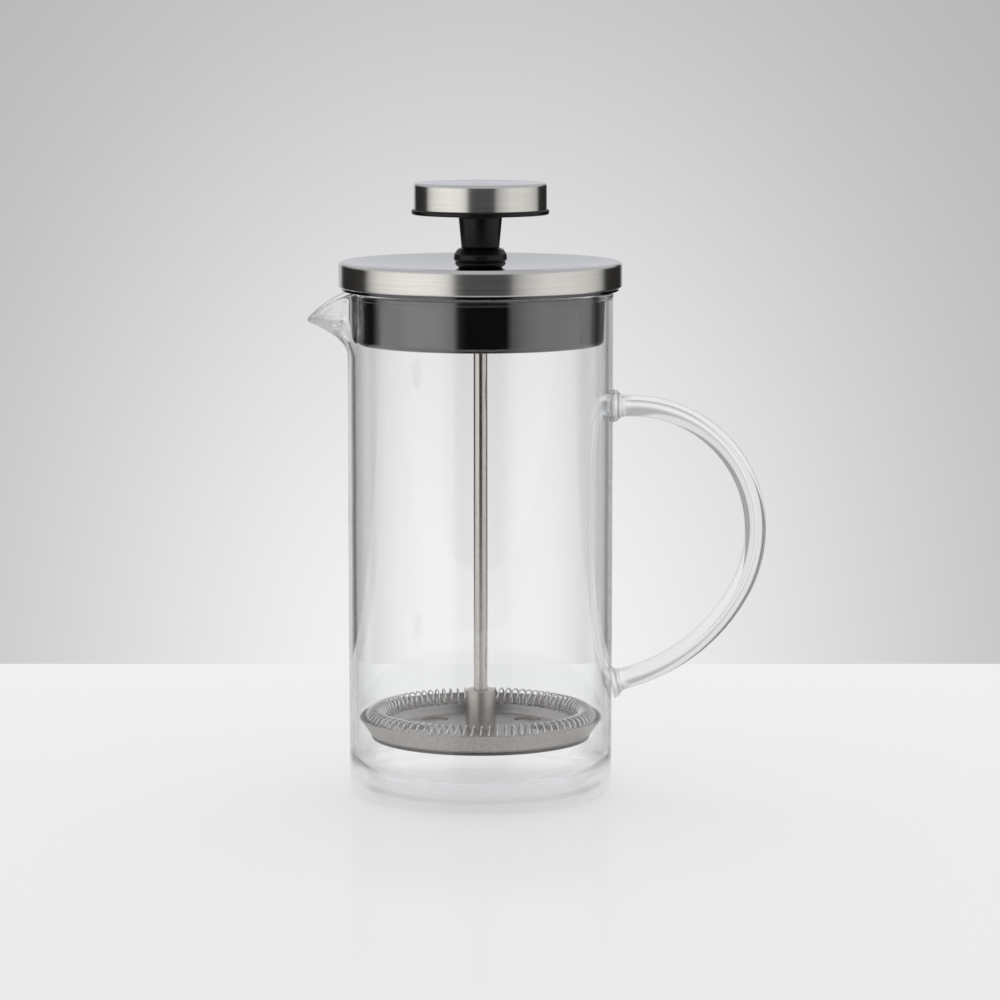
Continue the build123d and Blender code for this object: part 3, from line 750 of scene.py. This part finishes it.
hub_low, hub_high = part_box("filter_hub")
hub_foot, hub_top = hub_low.z / MM, hub_high.z / MM
hub_r = 4.35
rod_socket_r, rod_socket_depth = rod_r + 0.02, 3.0
stud_socket_r = 2.55
hub_outline = outline_of([
    (stud_socket_r, hub_foot, 0.1), (hub_r, hub_foot, 0.15), (hub_r, hub_top, 0.35),
    (rod_socket_r, hub_top, 0.1), (rod_socket_r, hub_top - rod_socket_depth, 0.1),
    (stud_socket_r, hub_top - rod_socket_depth - 1.0, 0.1),
])
hub_steel = brushed_steel("turned_hub", (0.84, 0.77, 0.72, 1), 0.36, groove=0.4, stretch=0.7)
add_piece("hub", turned("hub", hub_outline, around=96), hub_steel, "plunger", "filter_hub")

# ---- coil spring ----------------------------------------------------------------
# One bright wire wound into a long coil, bent round and joined as a ring along the slotted rim
# of the spring plate, to press the mesh outward. It has more turns than the rim has slots, so
# most of them cross the rim beside a slot.

turns = 88
ring_r = 31.05 * MM
coil_r = 2.6 * MM
coil_level = 22.45 * MM
wire_r = 0.25 * MM


def coil_grid(steps=22, around=8):
    """Wire wound round a ring, as circles of the wire that stand across its direction.

    The wire's middle goes round the coil once per turn as it goes on round the ring.
    """
    share = np.arange(turns * steps) / steps
    coil, ring = share * 2 * math.pi, share * 2 * math.pi / turns
    out = np.stack([np.cos(ring), np.sin(ring), 0 * ring], axis=-1)
    side = np.stack([-np.sin(ring), np.cos(ring), 0 * ring], axis=-1)
    rise = np.array([0, 0, 1.0])
    outward = out * np.cos(coil)[:, None] + rise * np.sin(coil)[:, None]
    onward = rise * np.cos(coil)[:, None] - out * np.sin(coil)[:, None]
    middle = out * ring_r + outward * coil_r + rise * coil_level
    radius = ring_r + coil_r * np.cos(coil)
    ahead = onward * coil_r * 2 * math.pi + side * (radius * 2 * math.pi / turns)[:, None]
    ahead /= np.linalg.norm(ahead, axis=1)[:, None]
    across = np.cross(ahead, outward)
    angle = np.linspace(0, 2 * math.pi, around, endpoint=False)
    right, over = np.cos(angle)[None, :, None], np.sin(angle)[None, :, None]
    return middle[:, None] + wire_r * (outward[:, None] * right + across[:, None] * over)


def drawn_wire():
    """Bright drawn wire: fine lengthwise streaks and a slight change of tone."""
    material, shader, value = new_finish("drawn_wire", Metallic=1.0)
    place = value.make("ShaderNodeTexCoord", output="Object")
    streak = value.make("ShaderNodeTexNoise", inputs={"Vector": place, "Scale": 3000.0, "Detail": 2.0})
    feed(shader, "Base Color", streak.step(0.3, 0.7).mix((0.80, 0.785, 0.765, 1), (0.95, 0.94, 0.92, 1)))
    feed(shader, "Roughness", streak * 0.15 + 0.1)
    return material


coil_mesh = grid_mesh("coil", coil_grid(), along_closed=True)
add_piece("coil", coil_mesh, drawn_wire(), "filter", "coil_spring")

# ---- mesh screen ----------------------------------------------------------------
# Woven steel cloth, pressed to a shallow tray with a flared wall, as a thin solid sheet. The
# wires of the weave run along and across the cloth, about a third of a millimetre apart.

mesh_low, mesh_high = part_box("mesh_screen")
tray_foot = mesh_low.z / MM
tray_rim = mesh_high.z / MM
tray_r = mesh_high.x / MM
tray_floor_r = 32.0
tray_hole_r = 2.95
cloth = 0.5
tray_outline = outline_of([
    (tray_hole_r, tray_foot, 0.1), (tray_floor_r, tray_foot, 0.5),
    (tray_r, tray_rim, 0.2), (tray_r - cloth, tray_rim, 0.2),
    (tray_floor_r - cloth, tray_foot + cloth, 0.3), (tray_hole_r, tray_foot + cloth, 0.1),
])


def woven_steel():
    """Plain weave: wires as two sets of waves, each over and under the other in turn.

    On the wall the sets follow the angle and the height, on the floor X and Y.
    """
    material, shader, value = new_finish("woven_steel")
    cosine, sine, radius, height = lathe_coordinates(value)
    wire_step = math.pi / (0.36 * MM)
    wall_r, wall_stretch = 34.0 * MM, 1.2
    on_wall = height.step(17.9 * MM, 18.3 * MM)
    on_floor = 1.0 - on_wall
    angle = value.sum("ARCTAN2", sine, cosine)
    first = (on_wall * (angle * wall_r) + on_floor * (cosine * radius)) * wire_step
    second = (on_wall * (height * wall_stretch) + on_floor * (sine * radius)) * wire_step
    warp = value.sum("ABSOLUTE", value.sum("SINE", first))
    weft = value.sum("ABSOLUTE", value.sum("SINE", second))
    weave = value.sum("MAXIMUM", warp, weft)
    place = value.make("ShaderNodeTexCoord", output="Object")
    cloud = value.make("ShaderNodeTexNoise", inputs={"Vector": place, "Scale": 2600.0, "Detail": 2.0})
    # painted shade: the gaps between the wires are darkened; the cloud is a random drift of tone
    shade = weave.step(0.2, 0.95) * (0.35 + 0.65 * cloud.step(0.3, 0.7))
    # light comes up through the gaps of the floor; the wall is seen too flat to look through
    feed(shader, "Alpha", on_wall + on_floor * weave.step(0.80, 0.90))
    # painted light: the floor is a lighter, less metallic copy of the cloth, for light through the plate's
    # holes
    shade = on_wall * shade + on_floor * (0.6 + 0.4 * shade)
    feed(shader, "Base Color", shade.mix((0.22, 0.20, 0.185, 1), (0.70, 0.655, 0.62, 1)))
    feed(shader, "Metallic", 0.3 + 0.7 * on_wall)
    feed(shader, "Roughness", 0.52 - weave * 0.18)
    bump = value.make("ShaderNodeBump", inputs={"Height": weave, "Strength": 0.6, "Distance": 0.00006})
    feed(shader, "Normal", bump)
    return material


add_piece("screen", turned("screen", tray_outline), woven_steel(), "filter", "mesh_screen")

# ---- plates, nut, washer, bush and insert ---------------------------------------
# The pressed plates and their stud, the collar's nut and washer, the rod's bush and the
# knob's brass insert keep their CAD shapes, and only get their finishes.


def dress(node, material):
    """Give a CAD node a finish in its own material slots."""
    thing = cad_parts[node]
    thing.data.materials.clear()
    thing.data.materials.append(material)


pressed = brushed_steel("pressed_steel", (0.62, 0.58, 0.55, 1), 0.3, groove=0.6, stretch=0.3, dark=0.4)
dark_plate = brushed_steel("bottom_plate_steel", (0.10, 0.095, 0.09, 1), 0.34, groove=0.3, stretch=0.3)
dress("spring_plate", pressed)
dress("collar_nut", pressed)
dress("cross_plate_stud", pressed)
dress("cross_plate", dark_plate)


def plain_finish(name, low, high, rough, metallic, scale):
    """Plain finish whose tone and roughness drift a little over the surface."""
    material, shader, value = new_finish(name, Metallic=metallic)
    place = value.make("ShaderNodeTexCoord", output="Object")
    cloud = value.make("ShaderNodeTexNoise", inputs={"Vector": place, "Scale": scale, "Detail": 3.0})
    feed(shader, "Base Color", cloud.step(0.3, 0.7).mix(low, high))
    feed(shader, "Roughness", cloud * 0.15 + rough)
    bump = value.make("ShaderNodeBump", inputs={"Height": cloud, "Strength": 0.2, "Distance": 0.00002})
    feed(shader, "Normal", bump)
    return material


silicone = plain_finish("silicone", (0.66, 0.66, 0.65, 1), (0.74, 0.74, 0.73, 1), 0.5, 0.0, 600.0)
white_plastic = plain_finish("white_bush", (0.78, 0.78, 0.76, 1), (0.85, 0.85, 0.83, 1), 0.35, 0.0, 900.0)
brass = plain_finish("brass", (0.62, 0.43, 0.17, 1), (0.74, 0.54, 0.24, 1), 0.2, 1.0, 1200.0)
dress("floor_washer", silicone)
dress("rod_bush", white_plastic)
dress("knob_insert", brass)
